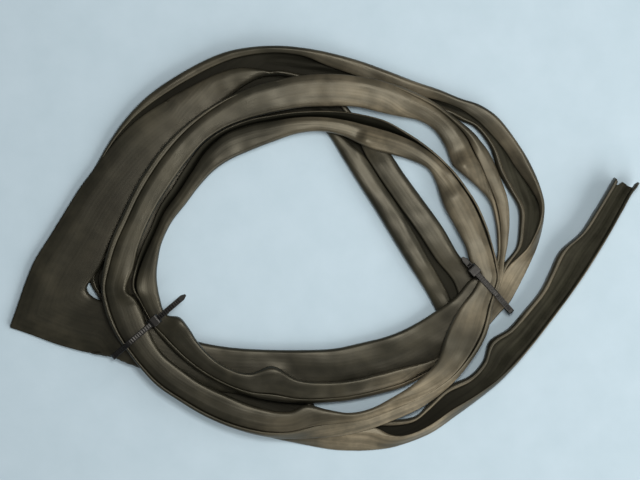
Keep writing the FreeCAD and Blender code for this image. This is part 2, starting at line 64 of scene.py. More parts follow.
# ---------------------------------------------------------------- the tube's laps
# Each lap has its rails, in mm and in order along the tube: outer edge x, y and inner edge x, y. Then come
# its shape keys: rail row, underside z, outer top z and inner top z in mm, and these shares:
#   slope  how far in the outer wall leans, of the width; a negative one is a wall that flares outward
#   lip    how far the outer lip reaches over the top, of the width
#   cover  where the upper wall's free edge lies, of the width; above OPEN_COVER the lap is an open channel
#   rise   the outer wall's height, of the full height
#   sag    how far the lip's edge hangs, of the height
LAPS = [
    ("outer_lap", [
        (74.6, -35.6, 68.3, -30.2), (80, -29.3, 72.8, -23), (85, -23.9, 77.3, -17.6),
        (89.5, -15.8, 79.6, -11.8), (94, -6.8, 81.8, -6.8), (97.6, 1.8, 87.2, 0.4),
        (99.8, 10.8, 88.6, 9.4), (100.3, 19.3, 88.3, 18.4), (98.5, 27.4, 83.6, 27),
        (94.9, 36.4, 79.1, 35.5), (90.4, 44.5, 76, 45), (83.6, 54.4, 71.9, 51.3),
        (78.2, 60.5, 67.9, 55.3), (71, 65.2, 62.9, 57.6), (62.9, 67.9, 57, 60.7),
        (53, 72, 47.6, 64.3), (41.8, 75.8, 35.9, 67.9), (29.6, 80.5, 25.1, 70.6),
        (17, 85, 13.4, 73.3), (3.5, 88.6, 1.3, 75.1), (-7.8, 90.7, -8.7, 76),
        (-19, 91.7, -18.6, 78), (-30.3, 91.3, -27.1, 77.4), (-41.5, 89.5, -34.8, 73.8),
        (-50.5, 86.4, -42, 68.4), (-59.5, 81.9, -49.6, 62), (-68.5, 76.5, -57.3, 55.3),
        (-77.5, 70.2, -64.9, 48.1), (-85.2, 63, -71.7, 40.9), (-91.9, 54.9, -78, 32.8),
        (-97.8, 45.9, -83.4, 24.3), (-103.6, 36, -87.9, 16.6), (-109.9, 27.4, -91.9, 9),
        (-116.7, 16.6, -95.5, 1.3), (-123.4, 5.8, -98.7, -5.9), (-130.2, -5, -101.8, -11.3),
        (-134.7, -15.8, -104.5, -14.5),
    ], [
        (0, 1.4, 3.8, 3.8, 0.8, 0.1, 0.95, 1, 0), (2, 1.3, 4.4, 4.0, 0.86, 0.06, 0.96, 1, 0),
        (3, 0.8, 5.4, 4.4, 0.82, 0.08, 0.96, 1, 0), (4, 0.2, 6.2, 5.0, 0.68, 0.1, 0.96, 1, 0.05),
        (5, 0, 6.6, 5.6, 0.38, 0.1, 0.97, 1, 0.1), (6, 0, 7.4, 5.8, 0.14, 0.1, 0.97, 1, 0.1),
        (7, 0, 7.6, 5.6, 0.04, 0.15, 0.97, 1, 0.1), (8, 0, 7.6, 5.4, 0.03, 0.28, 0.96, 1, 0.2),
        (9, 0, 7.4, 5.2, 0.04, 0.42, 0.95, 1, 0.12), (10, 0, 7.2, 5.2, 0.05, 0.54, 0.94, 1, 0.05),
        (11, 0, 6.8, 5.0, 0.05, 0.64, 0.92, 1, 0.03), (12, 0, 6.6, 4.8, 0.05, 0.66, 0.92, 1, 0.02),
        (13, 0, 6.2, 4.6, 0.05, 0.54, 0.93, 1, 0.02), (14, 0, 5.8, 4.2, 0.06, 0.42, 0.95, 1, 0),
        (15, 0, 5.6, 3.8, 0.12, 0.44, 0.95, 1, 0), (16, 0, 5.4, 3.4, 0.12, 0.68, 0.95, 1, 0),
        (17, 0, 5.6, 3.6, 0.1, 0.62, 0.95, 1, 0), (18, 0, 6.0, 4.0, 0.08, 0.5, 0.97, 1, 0),
        (19, 0, 6.6, 4.2, 0.06, 0.4, 0.97, 1, 0), (20, 0, 7.0, 4.4, 0.05, 0.2, 0.98, 1, 0),
        (21, 0, 7.0, 5.4, 0.05, 0.2, 0.95, 1, 0), (22, 0, 6.6, 5.2, 0.04, 0.21, 0.74, 1, 0),
        (23, 0, 6.2, 5.0, 0.04, 0.2, 0.5, 1, 0), (24, 0, 5.8, 4.6, 0.04, 0.18, 0.41, 1, 0),
        (26, 0, 5.4, 4.4, 0.03, 0.15, 0.31, 1, 0), (27, 0, 5.0, 4.2, 0.03, 0.13, 0.25, 1, 0),
        (28, 0, 4.8, 4.2, 0.03, 0.09, 0.18, 1, 0), (30, 0, 4.4, 4.0, 0.03, 0.03, 0.06, 0.9, 0),
        (31, 0, 4.2, 4.0, 0.03, 0.02, 0.0, 0.6, 0), (32, 0, 4.0, 3.8, 0.03, 0.0, 0.0, 0.5, 0),
        (36, 0, 3.2, 3.4, 0.03, 0.0, 0.0, 0.5, 0),
    ]),
    ("corner", [
        (-138.3, -26.2, -105.9, -16.3), (-141.2, -34.3, -106.3, -18.1), (-141.6, -35.6, -105.9, -19.4),
        (-139.2, -36.5, -105.2, -20.3), (-131.5, -39.2, -103.6, -21.7), (-120.3, -43.3, -101.4, -22.8),
        (-109, -46.4, -98.2, -23.5), (-100, -48, -94.2, -24.4),
    ], [
        (0, 0, 2.8, 3.4, 0.03, 0.0, 0.0, 0.5, 0), (2, 0, 2.2, 3.2, 0.03, 0.0, 0.0, 0.5, 0),
        (4, 0, 2.6, 3.2, 0.03, 0.0, 0.0, 0.5, 0), (7, 0.8, 4.4, 4.4, 0.03, 0.0, 0.0, 0.5, 0),
    ]),
    ("lower_band", [
        (-94.2, -48.7, -89.2, -27.1), (-90.1, -50.5, -83.8, -30.2), (-82, -53.6, -76.6, -33.8),
        (-70.8, -58.1, -67.6, -37.9), (-57.3, -62.2, -55.9, -41.9), (-41.5, -64.9, -42.4, -44.4),
        (-25.8, -66.2, -27.1, -45.5), (-10, -65.8, -10, -45.7), (5.8, -64, 4.9, -45.1),
        (20.6, -60.8, 17.9, -42.4), (35.5, -57, 29.6, -39.4), (49, -52, 40.4, -34.7),
        (60, -44.5, 51.2, -28), (69.5, -36, 60.2, -21.2), (76.4, -26, 67.4, -13.2),
    ], [
        (0, 2.6, 5.8, 5.8, 0.03, 0.0, 0.0, 0.5, 0), (2, 2.6, 5.8, 6.0, 0.03, 0.0, 0.0, 0.5, 0),
        (4, 1.4, 4.6, 5.0, 0.03, 0.0, 0.0, 0.5, 0), (6, 0, 3.0, 4.6, 0.03, 0.0, 0.0, 0.5, 0),
        (9, 0, 3.0, 4.6, 0.03, 0.0, 0.0, 0.5, 0), (11, 0.8, 4.2, 4.8, 0.03, 0.02, 0.03, 0.7, 0),
        (12, 2.2, 5.4, 5.4, 0.04, 0.03, 0.1, 1, 0), (14, 3.5, 6.5, 6.5, 0.05, 0.04, 0.12, 1, 0),
    ]),
    ("middle_lap", [
        (80.9, -14.9, 75.1, -11.3), (82, -5.9, 78.4, -5), (83.8, 4, 78.8, 4), (84.5, 13.9, 77.8, 13),
        (83.6, 22.9, 75.4, 21.1), (80.9, 31, 70.1, 27.4), (77.8, 38.7, 62.9, 33.7),
        (75.1, 44.1, 58.9, 37.5), (72.4, 47.7, 57.1, 41.8), (68.3, 52.6, 55.3, 46.3),
        (61.1, 58.5, 50.3, 53.5), (52.1, 65.2, 43.6, 57.6), (41.8, 70.6, 35, 59.4),
        (30.5, 74.7, 26, 61.4), (17, 77.4, 14.8, 63.9), (3.5, 78.5, 2.6, 64.1), (-10, 77.8, -9.1, 63.6),
        (-23.5, 75.1, -20.4, 61.6), (-37, 70.6, -32.5, 58.5), (-49.6, 64.3, -43.3, 54.4),
        (-60.9, 56.2, -52.8, 48.1), (-70.8, 46.8, -60.4, 39.6), (-78.9, 36, -67.6, 29.7),
        (-85.2, 25.2, -73.9, 19.8), (-90.6, 13.5, -78.9, 9.9), (-95.5, 2.2, -82.5, 0.4),
        (-98.4, -8.6, -84.7, -8.6), (-99.3, -17.6, -87.9, -18.1), (-98.2, -25.7, -83.8, -22.6),
        (-95.5, -33.4, -80.4, -29.1), (-91.9, -40.1, -78.2, -35), (-87.9, -45.5, -75.5, -41.3),
        (-81.6, -53.6, -71.3, -47.2), (-73.9, -61.7, -63.4, -53.7), (-64, -68.5, -54.2, -60.1),
        (-52.8, -75.2, -43.7, -65.2), (-40.6, -80.4, -32.5, -69.8), (-27.1, -84.2, -22.6, -72.5),
        (-14.5, -85.6, -14.5, -73), (-1.9, -85.1, -7.3, -70), (10.3, -83.8, 2.2, -72.1),
        (22.4, -80.8, 12.5, -73.6), (34.1, -76.3, 22.4, -71.4), (44.9, -71.2, 31.4, -66.7),
        (54.4, -64.4, 39.5, -61.7), (62, -56.8, 47.6, -55), (68.8, -47.8, 52.1, -49.1),
        (73.3, -39.7, 54.8, -40.1), (75.5, -32.9, 58.4, -32), (76.9, -25.7, 62.9, -24.8),
        (78.7, -18.5, 68.3, -17.6), (79.8, -13.1, 70.6, -10.9),
    ], [
        (0, 3.9, 7.0, 7.0, 0.06, 0.4, 0.49, 1, 0), (1, 4.0, 7.8, 7.4, 0.06, 0.5, 0.59, 1, 0),
        (2, 2.4, 7.2, 7.0, 0.06, 0.62, 0.7, 1, 0), (4, 0, 6.6, 6.2, 0.06, 0.64, 0.72, 1, 0),
        (5, 0, 6.6, 6.2, 0.06, 0.48, 0.55, 1, 0), (6, 0, 6.6, 6.4, 0.06, 0.33, 0.4, 1, 0),
        (8, 0, 7.0, 6.6, 0.08, 0.24, 0.36, 1, 0), (10, 1.4, 7.8, 7.2, 0.1, 0.12, 0.24, 1, 0),
        (12, 4.0, 9.8, 8.8, 0.1, 0.06, 0.16, 1, 0), (13, 4.6, 10.2, 9.2, 0.06, 0.02, 0.03, 0.8, 0),
        (15, 5.0, 10.4, 9.6, 0.05, 0.0, 0.01, 0.7, 0), (18, 5.0, 10.2, 9.6, 0.05, 0.0, 0.02, 0.8, 0),
        (19, 5.0, 10.4, 9.6, 0.05, 0.1, 0.17, 1, 0), (21, 5.0, 10.6, 9.6, 0.04, 0.2, 0.26, 1, 0),
        (24, 5.0, 10.6, 9.8, 0.04, 0.21, 0.27, 1, 0), (27, 5.0, 10.4, 9.8, 0.04, 0.14, 0.2, 1, 0),
        (30, 6.0, 10.5, 10.3, 0.04, 0.09, 0.15, 1, 0), (33, 5.8, 10.8, 10.8, 0.04, 0.1, 0.16, 1, 0),
        (36, 5.5, 10.8, 10.8, 0.06, 0.1, 0.19, 1, 0), (37, 5.4, 10.6, 10.6, 0.12, 0.08, 0.22, 1, 0),
        (38, 5.4, 10.2, 10.6, 0.25, 0.02, 0.29, 1, 0), (39, 5.4, 10.0, 10.4, 0.34, 0.02, 0.38, 1, 0),
        (40, 5.4, 9.8, 10.4, 0.46, 0.01, 0.49, 1, 0), (41, 5.4, 9.8, 10.4, 0.52, 0.01, 0.55, 1, 0),
        (42, 5.4, 10.0, 10.4, 0.54, 0.01, 0.57, 1, 0), (43, 5.6, 10.2, 10.4, 0.46, 0.01, 0.49, 1, 0),
        (44, 6.0, 10.6, 10.4, 0.3, 0.02, 0.34, 1, 0), (45, 6.4, 11.0, 10.6, 0.17, 0.02, 0.22, 1, 0),
        (47, 6.6, 11.0, 10.8, 0.1, 0.02, 0.16, 1, 0),
        (49, 6.6, 11.0, 11.2, 0.1, 0.04, 0.18, 1, 0), (51, 6.7, 10.6, 10.6, 0.1, 0.05, 0.2, 1, 0),
    ]),
    ("inner_lap", [
        (78.7, -5.9, 66.5, -5.9), (76.4, 2.7, 64.3, 1.3), (73.7, 11.2, 59.8, 9.9), (69.7, 20.2, 55.3, 18),
        (65.6, 26.5, 53, 23.8), (60.2, 33.7, 51.2, 29.7), (53, 41.4, 47.6, 36), (44, 48.6, 39.5, 40),
        (35, 54.2, 30.5, 42.7), (28.3, 57.6, 23.3, 44.5), (20.6, 59.8, 17, 47.2), (10.3, 61.6, 9.4, 50.8),
        (-1, 62.1, -1, 52.8), (-12.3, 61.6, -11.4, 51.7), (-23.5, 60, -22.2, 48.1),
        (-33.4, 58, -32.5, 44.1), (-44.2, 53.7, -41.5, 40), (-53.7, 47, -48.7, 35.1),
        (-60.6, 38.2, -55.5, 27.9), (-66.7, 28.4, -61.3, 20.2), (-72.9, 19.2, -67.6, 12.1),
        (-77.1, 9.5, -72.1, 2.7), (-81.4, -0.2, -73.9, -5.9), (-84.3, -9.5, -74.4, -11.8),
        (-85.2, -16.7, -73.9, -17.6), (-82.5, -23, -72.6, -23.5), (-79.3, -29.3, -71.4, -27.5),
        (-76.6, -34.3, -69.4, -29.8), (-73, -39.2, -64, -30.7), (-68.1, -44.6, -59.5, -36.1),
        (-61.8, -50.5, -56.4, -41), (-53.7, -56.3, -50.5, -47.8), (-43.8, -61.7, -42.9, -53.2),
        (-32.5, -66.2, -32.5, -55.9), (-21.3, -68.7, -22.2, -52.7), (-10, -69.8, -11.4, -58.6),
        (1.3, -69.4, 1.3, -59.9), (13.4, -68.2, 13.4, -59), (26, -65.5, 26, -56.1),
        (36.4, -62.4, 37.3, -53.2), (46.3, -57.2, 47.6, -50.7), (56.2, -50.5, 53, -47.8),
    ], [
        (0, 5.6, 9.4, 9.4, 0.04, 0.05, 0.14, 1, 0), (1, 4.0, 8.4, 8.0, 0.02, 0.04, 0.16, 1, 0),
        (3, 0.6, 6.6, 6.4, -0.05, 0.0, 0.14, 1, 0), (5, 0, 6.0, 6.2, -0.09, 0.0, 0.16, 1, 0),
        (7, 0.8, 6.6, 6.6, -0.14, 0.0, 0.2, 1, 0), (9, 3.4, 8.6, 9.0, -0.26, 0.0, 0.33, 1, 0),
        (11, 4.6, 9.4, 9.8, -0.3, 0.0, 0.38, 1, 0), (13, 5.0, 9.4, 10.0, -0.2, 0.0, 0.3, 1, 0),
        (16, 5.0, 9.6, 10.0, -0.1, 0.0, 0.2, 1, 0), (18, 4.8, 8.8, 9.8, -0.35, 0.0, 0.42, 1, 0),
        (21, 4.8, 8.6, 9.6, -0.35, 0.0, 0.42, 1, 0), (23, 4.8, 8.8, 9.6, -0.12, 0.0, 0.22, 1, 0),
        (25, 5.2, 9.2, 9.4, 0.05, 0.06, 0.14, 1, 0), (27, 5.8, 9.2, 9.3, 0.06, 0.08, 0.16, 1, 0),
        (29, 6.0, 9.4, 10.2, 0.08, 0.09, 0.19, 1, 0), (32, 5.4, 8.6, 10.2, 0.1, 0.09, 0.21, 1, 0),
        (35, 3.4, 6.6, 8.8, 0.14, 0.08, 0.24, 1, 0), (38, 3.2, 6.6, 8.2, 0.16, 0.08, 0.26, 1, 0),
        (40, 3.6, 6.0, 6.8, 0.14, 0.1, 0.3, 1, 0), (41, 1.6, 4.4, 4.8, 0.08, 0.1, 0.3, 1, 0),
    ]),
    ("chord", [
        (64.7, -43.3, 56.2, -41), (69.3, -34.3, 55.7, -36.5), (71.2, -24, 51.7, -28.4),
        (69.2, -11.9, 46.7, -19), (61.6, -2.3, 38.6, -6.4), (54.8, 9.4, 31.4, 5.4), (45.8, 22, 23.8, 18),
        (37.3, 33.7, 16.1, 30.1), (31.9, 41.8, 8.9, 41.8), (25.1, 50.8, 2.6, 51.7), (14.8, 60.3, -6, 58.9),
    ], [
        (0, 0, 2.4, 2.4, 0.05, 0.4, 0.5, 1, 0), (2, 0, 2.9, 3.4, 0.05, 0.4, 0.6, 1, 0),
        (3, 0, 3.8, 4.6, 0.05, 0.38, 0.66, 1, 0), (4, 0, 5.2, 5.2, 0.06, 0.4, 0.6, 1, 0),
        (6, 0, 5.2, 5.0, 0.06, 0.46, 0.555, 1, 0), (8, 0, 4.2, 4.2, 0.06, 0.47, 0.555, 1, 0),
        (9, 0, 3.4, 3.4, 0.05, 0.4, 0.75, 1, 0), (10, 0, 2.4, 2.4, 0.05, 0.1, 0.96, 1, 0),
    ]),
    ("under_lap", [
        (1.3, 75, -16.3, 59.8), (-12.3, 78.6, -24.4, 57), (-31.5, 78, -34.5, 55.5), (-46, 66.5, -46, 50.5),
        (-59.5, 51.5, -58.5, 38), (-72, 38, -67, 26), (-82, 23, -74.5, 12), (-90.5, 8, -78.5, -2.5),
        (-105.2, -11.8, -78, -14), (-100.6, -23, -77.5, -25), (-94.5, -31, -75.5, -33),
        (-88, -45.5, -71, -41), (-78, -57.5, -61, -49), (-57, -72, -43, -57.5), (-37, -80.5, -26, -62.5),
    ], [
        (0, 0, 2.4, 2.4, 0.03, 0.03, 0.97, 1, 0), (3, 0, 2.6, 2.6, 0.03, 0.03, 0.95, 1, 0),
        (5, 0, 3.4, 3.4, 0.03, 0.05, 0.15, 1, 0), (7, 0.1, 3.8, 3.8, 0.05, 0.05, 0.15, 1, 0),
        (8, 0, 2.7, 3.4, 0.05, 0.05, 0.15, 1, 0),
        (10, 0.5, 3.4, 3.4, 0.05, 0.05, 0.15, 1, 0), (11, 0.6, 3.6, 3.6, 0.05, 0.05, 0.2, 1, 0),
        (12, 0.2, 2.8, 2.2, 0.05, 0.05, 0.95, 1, 0), (14, 0, 3.2, 2.0, 0.05, 0.1, 0.97, 1, 0),
    ]),
    ("tail", [
        (-22.6, -85.6, -17, -64.6), (-14.5, -87.4, -8, -66.4), (-5.5, -89.2, 1.3, -75.2),
        (5.8, -91, 12.5, -76.1), (17.9, -91.4, 25.1, -77), (29.6, -90.3, 35, -77), (38.6, -87.8, 42.2, -75.4),
        (49.4, -83.3, 47.6, -70.3), (59.8, -76.1, 56.2, -62.2), (70.1, -68.5, 66.5, -57.2),
        (80, -60.4, 72.4, -50.5), (88.1, -51.8, 75.5, -41.5), (95.8, -42.4, 83.6, -36.1),
        (103.4, -32.5, 90.8, -28), (111.1, -22.1, 98, -19), (118.3, -11.8, 102.1, -10.9),
        (124.6, -1.9, 107, -1), (130.4, 8.1, 116, 7.2), (135.8, 18, 122.8, 17.5), (139.4, 24.7, 127.3, 25.2),
        (142.1, 28.3, 130, 30.1),
    ], [
        (0, 0, 3.4, 2.0, 0.05, 0.2, 0.97, 1, 0), (1, 0, 4.0, 2.0, 0.1, 0.3, 0.97, 1, 0),
        (2, 0, 4.6, 4.0, 0.3, 0.5, 0.95, 1, 0), (4, 0, 5.0, 4.8, 0.5, 0.3, 0.97, 1, 0),
        (5, 0, 5.2, 4.8, 0.37, 0.08, 0.97, 1, 0), (6, 0, 5.6, 5.0, 0.3, 0.05, 0.96, 1, 0),
        (8, 0, 6.6, 5.2, 0.25, 0.04, 0.94, 1, 0), (9, 0, 7.0, 5.4, 0.2, 0.04, 0.93, 1, 0),
        (10, 0, 7.2, 5.8, 0.13, 0.03, 0.92, 1, 0), (11, 0, 7.4, 6.4, 0.05, 0.03, 0.9, 1, 0),
        (13, 0, 7.6, 7.4, 0.04, 0.03, 0.92, 1, 0), (16, 0, 8.0, 7.8, 0.04, 0.03, 0.92, 1, 0),
        (18, 0.2, 8.4, 8.4, 0.04, 0.03, 0.93, 1, 0), (20, 1.4, 9.6, 9.8, 0.04, 0.04, 0.94, 1, 0),
    ]),
]

LOW, SLOPE, COVER = 0, 3, 5     # places in a row of shape values, once the rail row is left off
SHAPE_COUNT = 8

# Buckles of the upper wall: x, y, heading of the tube there in degrees, how far the gentle flank and the
# steep flank reach along it, how far it reaches across, and its height, in mm.
BUCKLES = [
    (63.0, 36.6, 124, 13, 4.6, 7, 3.8),
    (58.6, 21.6, 112, 13, 6.0, 7.5, 2.3),
    (19.6, 48.2, 158, 11, 3.0, 5, 2.4),
    (-85.5, -20.0, 275, 7, 3.0, 5, 2.0),
    (57.0, -24.0, 50, 6, 3.0, 5, 0.7),
    (-64.0, -34.0, 310, 5, 4.0, 5, 1.2),
    (-22.2, -55.5, 0, 6, 5.0, 4, 1.0),
]
BUCKLE_LIMIT = 40           # no buckle lifts anything further off than this, mm

# Chalky patches, partly chalk dust and partly painted highlight on faces where the light falls brightest: x,
# y and reach in mm, and strength.
CHALK_AND_HIGHLIGHT = [
    (12, 70, 19, 0.5), (38, 64, 14, 0.5), (62, 38, 12, 0.5), (81, 20, 14, 0.5), (62, 14, 13, 0.4),
    (86, 50, 13, 0.35), (90, -14, 13, 1.0), (42, -72, 15, 1.6), (60, -60, 8, 0.6), (24, -80, 10, 0.8),
    (8, -89, 13, 0.9), (67, -30, 8, 0.6), (-4, 57, 14, 0.2), (26, 50, 12, 0.4), (48, 82, 16, 0.25),
    (72, -2, 10, 0.4), (54, 38, 9, 0.4), (-20, -84, 12, 0.3), (-60, 76, 20, 0.15), (118, -10, 30, 0.5),
    (100, -38, 16, 0.4),
]
FEW_PATCH_LAPS = ("lower_band", "chord", "under_lap", "corner")
FEW_PATCH_SHARE = 0.12           # how much of the chalk and painted highlight these laps take
RIM_SHADE = 0.85            # how much of the chalk and painted highlight an open channel's rim loses: painted shade, for the rim folding into shadow

# Ripples of the upper wall: size in mm, size in points round the section, place in the noise, height in mm.
RIPPLES = [(17, 40.0, 3.1, 0.5), (6.5, 24.0, 7.7, 0.18)]
RIPPLE_FROM = 1.5           # the height over the underside where ripples and buckles start, mm
RIPPLE_BLEND = 2.0          # over how much more height they grow to full, mm
CALM_FROM = 45              # how far left of the middle the ripples start to calm, mm
CALM_BLEND = 35             # over how much more they calm, mm
CALM = 0.8                  # and how much of them is gone by then

# The crease along an open channel's floor.
CREASE_AT = 0.46            # where it is and how wide, as shares of the width
CREASE_WIDE = 0.13
CREASE_TALL = 0.9           # its height, how much that varies, and over what length, mm
CREASE_VARIES = 0.7
CREASE_LONG = 21
CREASE_SLOPE = 0.2          # a wall that leans in more than this leaves no room for it
FLOOR_TALL = 0.5            # the channel's floor is what lies less than this over the underside, mm

RIM_FROM = 0.78             # where an open channel's rim starts, and over how much more of the width it
RIM_BLEND = 0.12            # becomes one, as shares of the width
INSIDE_LIGHT_FROM = 50              # the inside is painted lighter to the right of this x, and over how much more, mm: painted light falling in from the right
INSIDE_LIGHT_BLEND = 40

# The tail's ragged cut: how far each share of the width runs past the end, and how far back it shows, in mm.
CUT_SHARES = (0, 0.12, 0.3, 0.55, 0.68, 0.8, 1.0)
CUT_OFFSETS = (1.6, -0.9, -0.5, 1.0, -0.9, 0.3, 2.4)
CUT_REACH = 8.0


# ---------------------------------------------------------------- the tube's section
STEP = 1.2                  # spacing of sections along the tube, mm
SMOOTH_OVER = 7             # how many sections their shape is averaged over
ACROSS = 84                 # points round a section
WALL = 0.85                 # rubber thickness, mm
FLAT_WIDTH = 0.050          # the tube slit and opened out, at the middle of its wall, m
UNDER_GAP = 0.05            # how far a lap's underside stays clear of what it lies on, mm
OPEN_COVER = 0.8            # a lap whose free edge lies past this share of the width opens into a channel
OPEN_BLEND = 0.12           # over how much more of the width it opens
STRAIGHT_SLOPE = 0.12       # an outer wall that leans in more than this becomes a plain slant
STRAIGHT_BLEND = 0.16       # over how much more lean it becomes one
ROOF_START = 0.94           # where the upper wall starts, as a share of the width
ROOF_LEAST = 0.02           # its least width, as a share of the tube's
TUCK_TARGET = 53.0          # how long the outline is where there is room for it, mm
TUCK_END = 0.87             # how far across the folded-under edge may reach, as a share of the width
TUCK_CLEAR = 0.9            # and how far short of that it stays, mm
TUCK_LEAST = 0.2            # the shortest folded-under edge, mm
TUCK_DROP = 1.95            # how far a folded-under edge lies below the wall it folds under, mm
TUCK_ROOM = 1.9             # how much of a section's height stays free below the folded-under edge, mm
EDGE_DROP = 1.1             # the least drop from the upper wall's edge to the part folded under it, mm
FLOOR_CLEAR = 0.35          # how far the folded-under edge stays above the underside, mm
FLAT_TALL = 2.5             # a section no taller than this has no room for a folded-under edge, mm
FLAT_BLEND = 0.4            # over how much more height it gets that room, mm
FULL_RISE = 0.95            # an outer wall that rises less than this moves the fold inward
INSET = 2.8                 # how far inward, mm, for each share of the height that it lacks
HEM = 5.6                   # how far an open channel's inner edge is turned down inside it, mm
HEM_SHARE = 0.72            # and how much of the channel's height that may take up


def clamp(value):
    return min(1.0, max(0.0, value))


def within(value, limit):
    return max(-limit, min(limit, value))


def bell(distance, reach):
    return math.exp(-(distance / reach) ** 2)


def smooth_curve(points, parameters, at):
    """Samples the smooth curve through rows of points, each row with its own parameter: cubic pieces that
    share a slope where they meet."""
    points = np.asarray(points, float)
    parameters = np.asarray(parameters, float)
    slopes = np.zeros_like(points)
    slopes[1:-1] = (points[2:] - points[:-2]) / (parameters[2:] - parameters[:-2])[:, None]
    slopes[0] = (points[1] - points[0]) / (parameters[1] - parameters[0])
    slopes[-1] = (points[-1] - points[-2]) / (parameters[-1] - parameters[-2])
    index = np.clip(np.searchsorted(parameters, at, side="right") - 1, 0, len(parameters) - 2)
    span = (parameters[index + 1] - parameters[index])
    t = ((at - parameters[index]) / span)[:, None]
    span = span[:, None]
    return ((2 * t ** 3 - 3 * t ** 2 + 1) * points[index] + (t ** 3 - 2 * t ** 2 + t) * span * slopes[index]
            + (3 * t ** 2 - 2 * t ** 3) * points[index + 1] + (t ** 3 - t ** 2) * span * slopes[index + 1])


def running_length(points):
    """How far along a line of points each one is."""
    return np.concatenate([[0], np.cumsum(np.linalg.norm(np.diff(points, axis=0), axis=1))])


def outer_wall(slope, lip, sag, straight, tall):
    """The outer wall from the lip's free edge down to the underside, as shares of the width and height."""
    if slope < 0:
        foot = -slope
        return [(0.0, 0.88), (foot * 0.14, 0.8), (foot * 0.3, 0.68), (foot * 0.5, 0.52),
                (foot * 0.7, 0.32), (foot * 0.88, 0.13), (foot + 0.06, 0.02)]
    roll = min(lip, 0.12)
    tip = 1.0 - 0.1 * min(1.0, lip / 0.1)
    nose = straight * min(0.8, 1.15 / max(tall, 1.0))
    return [(slope + lip, tip - sag), (slope + lip * 0.66, 0.98 - 0.55 * sag),
            (slope + roll * 0.5, 1.0 - 0.04 * sag),
            (slope * 0.6, max(0.86 - 0.2 * straight, nose + 0.5 * (1 - nose) * straight)),
            (slope * 0.12, max(0.55 - 0.3 * straight, nose)),
            (0.01 - 0.01 * straight, max(0.25 - 0.13 * straight, 0.5 * nose)), (0.07, 0.02)]


def upper_wall(walls, place, width, tall, cover, rise, droop):
    """The upper wall out to its free edge, which folds under it by as much rubber as the strip has left."""
    reach = max(ROOF_START - cover, ROOF_LEAST)
    roof = [place(ROOF_START - reach * k / 4, part) for k, part in enumerate((0.93, 1.0, 1.0, 0.98, droop))]
    line = walls + roof
    length = sum(math.hypot((b[0] - a[0]) * width, b[1] - a[1]) for a, b in zip(line, line[1:]))
    fits = clamp((tall - FLAT_TALL) / FLAT_BLEND)
    spare = max(TUCK_LEAST, fits * min(TUCK_TARGET - length, (TUCK_END - cover) * width - TUCK_CLEAR))
    start = min(1.0, spare / 2)
    inset = start * (0.0 if rise > FULL_RISE else INSET * (1 - rise))
    below = start * min(TUCK_DROP, max(tall - TUCK_ROOM, 0.5))
    edge_x, edge_z = roof[-1]
    roof_z = roof[-3][1]
    low_z = min(edge_z + (roof_z - edge_z) * start - below, edge_z - EDGE_DROP * start)
    low_z = max(low_z, place(0, 0)[1] + FLOOR_CLEAR)
    return roof + [(edge_x - 0.3 * start / width, edge_z - 0.4 * (edge_z - low_z)),
                   (edge_x + (0.4 * start + inset) / width, edge_z - 0.85 * (edge_z - low_z)),
                   (edge_x + (inset + 0.5 * spare) / width, low_z), (edge_x + (inset + spare) / width, low_z)]


def turned_edge(place, width, tall):
    """An open channel's inner edge, rolled over and turned down inside the channel."""
    rim = [place(0.975 - 0.012 * k, 0.86 + 0.035 * k) for k in range(5)]
    edge_x, edge_z = rim[-1]
    deep = min(HEM, HEM_SHARE * tall)
    return rim + [(edge_x - 0.8 / width, edge_z + 0.12), (edge_x - 1.55 / width, edge_z - 0.5),
                  (edge_x - 1.65 / width, edge_z - 0.5 * deep), (edge_x - 1.5 / width, edge_z - deep)]


def section(shape, width):
    """A section's outline from the outer lip's free edge, down round the underside and over the top to
    the upper wall's free edge: rows of (share of the width from the outer edge, height in mm)."""
    low, top_out, top_in, slope, lip, cover, rise, sag = shape
    low += UNDER_GAP
    tall_out, tall_in = top_out - low, top_in - low

    def place(share, part):
        return share, low + part * (tall_out * (1 - share) + tall_in * share)

    straight = clamp((slope - STRAIGHT_SLOPE) / STRAIGHT_BLEND)
    droop = 0.84 + 0.13 * straight - 0.3 * (1 - rise)
    outer = outer_wall(slope, lip, sag, straight, tall_out)
    foot = outer[-1][0]
    bottom = [(foot + (0.93 - foot) * k / 4, 0.0) for k in range(1, 4)]
    side = [(0.93, 0.02), (0.99, 0.24), (1.0, 0.52), (0.985, 0.78)]
    walls = [place(share, part * rise) for share, part in outer]
    walls += [place(share, part) for share, part in bottom + side]
    covered = np.array(upper_wall(walls, place, width, tall_out, cover, rise, droop))
    turned = np.array(turned_edge(place, width, tall_in))
    opened = clamp((cover - OPEN_COVER) / OPEN_BLEND)
    opened = opened * opened * (3 - 2 * opened)
    return np.concatenate([np.array(walls), covered * (1 - opened) + turned * opened])


def resample(outline, width, count):
    """Points evenly spaced along a smooth curve through the outline, in true millimetres."""
    true_size = np.array([width, 1.0])
    steps = np.maximum(np.linalg.norm(np.diff(outline * true_size, axis=0), axis=1), 1e-4)
    at = np.concatenate([[0], np.cumsum(steps)])
    dense = smooth_curve(outline, at, np.linspace(0, at[-1], count * 4))
    run = running_length(dense * true_size)
    even = np.linspace(0, run[-1], count)
    return np.stack([np.interp(even, run, dense[:, k]) for k in range(2)], axis=1)


# ---------------------------------------------------------------- the tube's strip
def gather_stations():
    """All laps' rails in one list, with each row's shape interpolated from its lap's keys, and how much of
    the chalk and painted highlight it takes."""
    rails, shapes, patch_share = [], [], []
    for name, rows, keys in LAPS:
        keys = np.asarray(keys, float)
        for row, rail in enumerate(rows):
            rails.append(rail)
            patch_share.append(FEW_PATCH_SHARE if name in FEW_PATCH_LAPS else 1.0)
            shapes.append([np.interp(row, keys[:, 0], keys[:, k + 1]) for k in range(SHAPE_COUNT)])
    return np.array(rails, float), np.array(shapes, float), np.array(patch_share)


